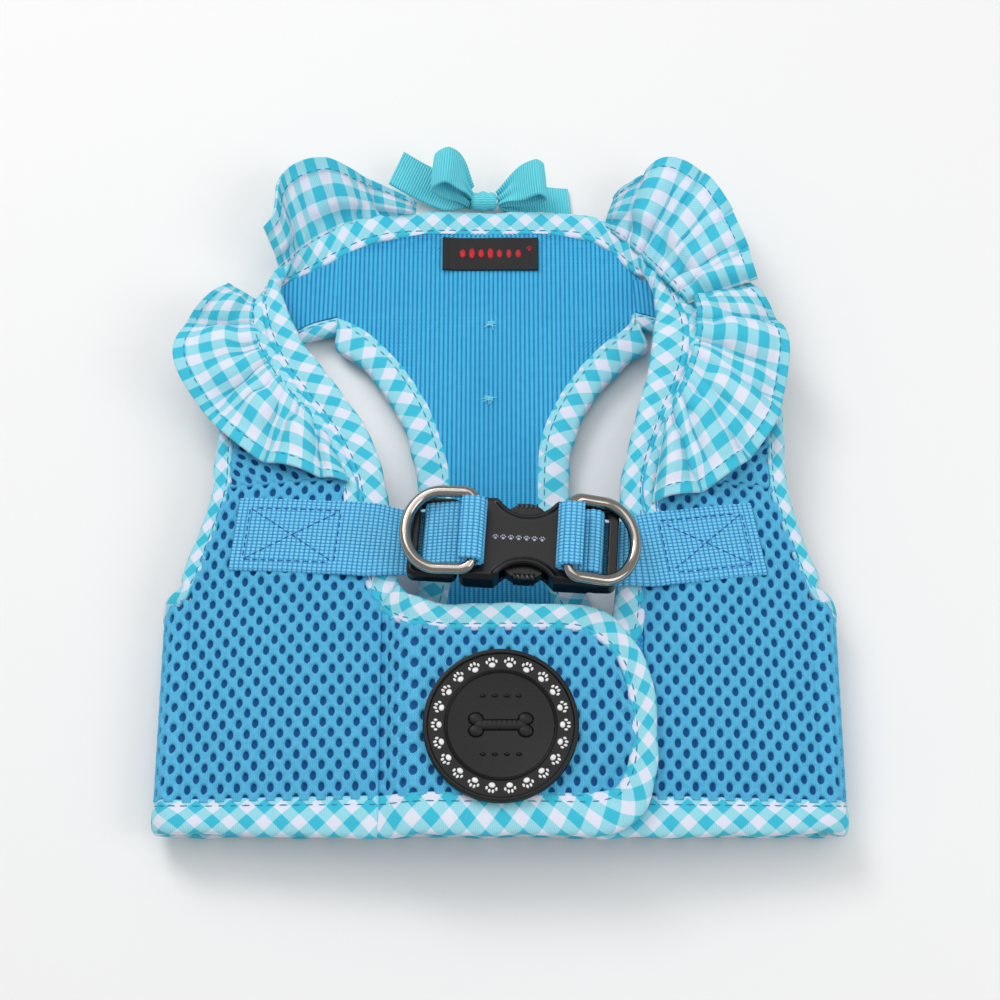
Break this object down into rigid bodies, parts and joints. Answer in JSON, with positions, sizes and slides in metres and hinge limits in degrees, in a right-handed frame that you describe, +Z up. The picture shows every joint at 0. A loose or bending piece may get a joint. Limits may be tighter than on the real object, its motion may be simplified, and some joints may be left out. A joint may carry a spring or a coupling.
{
  "type": "small-dog vest harness",
  "caption": "Step-in vest harness for a small dog: mesh body, checked bands and ruffles, peel-open flap, side-release buckle, D-rings and a bow.",
  "frame": {"origin": "on the surface that the vest lies on, under the middle of its bounding box", "axes": "+X across the vest to the wearer's right as it lies, +Y from the hem towards the neck, +Z up from the chest through the back"},
  "size_m": [0.1766, 0.203, 0.0394],
  "materials": {
    "air_mesh": "spacer mesh with staggered oval holes",
    "lining_knit": "fine ribbed knit",
    "gingham": "plain weave in small white and turquoise checks",
    "webbing": "woven tape",
    "ribbon": "ribbed ribbon with a soft sheen",
    "buckle_plastic": "satin moulded plastic",
    "patch_rubber": "moulded soft rubber",
    "ring_steel": "polished nickel plating",
    "label_weave": "damask weave",
    "fastener_tape": "hook and loop pile"
  },
  "bodies": {
    "vest": {"armhole_chest_left": "gingham", "armhole_chest_right": "gingham", "armhole_shoulder_left": "gingham", "armhole_shoulder_right": "gingham", "armhole_side_left": "gingham", "armhole_side_right": "gingham", "armhole_wing_left": "gingham", "armhole_wing_right": "gingham", "belly_lining": "lining_knit", "belly_panel": "air_mesh", "bow_knot": "ribbon", "bow_loop_left": "ribbon", "bow_loop_right": "ribbon", "bow_tail_left": "ribbon", "bow_tail_right": "ribbon", "button_lower": "ribbon", "button_upper": "ribbon", "chest_lining": "lining_knit", "chest_panel": "air_mesh", "hem_back_left": "gingham", "hem_back_right": "gingham", "hem_belly": "gingham", "hem_side_left": "gingham", "hem_side_right": "gingham", "loop_panel": "fastener_tape", "neck_binding_left": "gingham", "neck_binding_right": "gingham", "neck_binding_top": "gingham", "ruffle_back_left": "gingham", "ruffle_back_right": "gingham", "ruffle_front_left": "gingham", "ruffle_front_right": "gingham", "shoulder_left": "air_mesh", "shoulder_right": "air_mesh", "side_left": "air_mesh", "side_right": "air_mesh", "strap_left": "webbing", "strap_right": "webbing", "wing_left": "air_mesh", "wing_lining_left": "lining_knit", "wing_lining_right": "lining_knit", "wing_right": "air_mesh", "woven_label": "label_weave"},
    "flap": {"flap_panel": "air_mesh", "flap_binding": "gingham", "flap_hem": "gingham", "hook_patch": "fastener_tape", "rubber_patch": "patch_rubber"},
    "socket_half": {"buckle_socket": "buckle_plastic", "strap_loop_right": "webbing"},
    "plug_half": {"buckle_plug": "buckle_plastic", "strap_loop_left": "webbing"},
    "press_arm_upper": {"buckle_arm_upper": "buckle_plastic"},
    "press_arm_lower": {"buckle_arm_lower": "buckle_plastic"},
    "lead_ring_left": {"d_ring_left": "ring_steel"},
    "lead_ring_right": {"d_ring_right": "ring_steel"}
  },
  "joints": [
    {"name": "flap_peel", "type": "hinge", "parent": "vest", "child": "flap", "pos_m": [-0.0302, -0.10132, 0.01858], "axis": [0, -0.9965, -0.0835], "range_deg": [0, 130]},
    {"name": "socket_pull", "type": "slide", "parent": "vest", "child": "socket_half", "axis": [0.998, -0.0628, 0], "range_m": [0, 0.014], "deforming": ["strap_left", "strap_right", "buckle_arm_upper", "buckle_arm_lower"]},
    {"name": "plug_pull", "type": "slide", "parent": "vest", "child": "plug_half", "axis": [-0.998, 0.0628, 0], "range_m": [0, 0.014], "deforming": ["strap_left", "strap_right", "buckle_arm_upper", "buckle_arm_lower"]},
    {"name": "press_upper", "type": "hinge", "parent": "plug_half", "child": "press_arm_upper", "pos_m": [-0.0093, -0.02171, 0.02853], "axis": [0, 0, -1], "range_deg": [0, 5], "stiffness_Nm_per_rad": 0.02},
    {"name": "press_lower", "type": "hinge", "parent": "plug_half", "child": "press_arm_lower", "pos_m": [-0.00984, -0.03029, 0.02853], "axis": [0, 0, 1], "range_deg": [0, 5], "stiffness_Nm_per_rad": 0.02},
    {"name": "ring_swing_left", "type": "hinge", "parent": "plug_half", "child": "lead_ring_left", "pos_m": [-0.00678, -0.02618, 0.03623], "axis": [0.0628, 0.998, 0], "range_deg": [0, 100]},
    {"name": "ring_swing_right", "type": "hinge", "parent": "socket_half", "child": "lead_ring_right", "pos_m": [0.01767, -0.02771, 0.03623], "axis": [-0.0628, -0.998, 0], "range_deg": [0, 100]}
  ],
  "couplings": [
    {"joint": "plug_pull", "follows": "socket_pull", "ratio": 1}
  ]
}
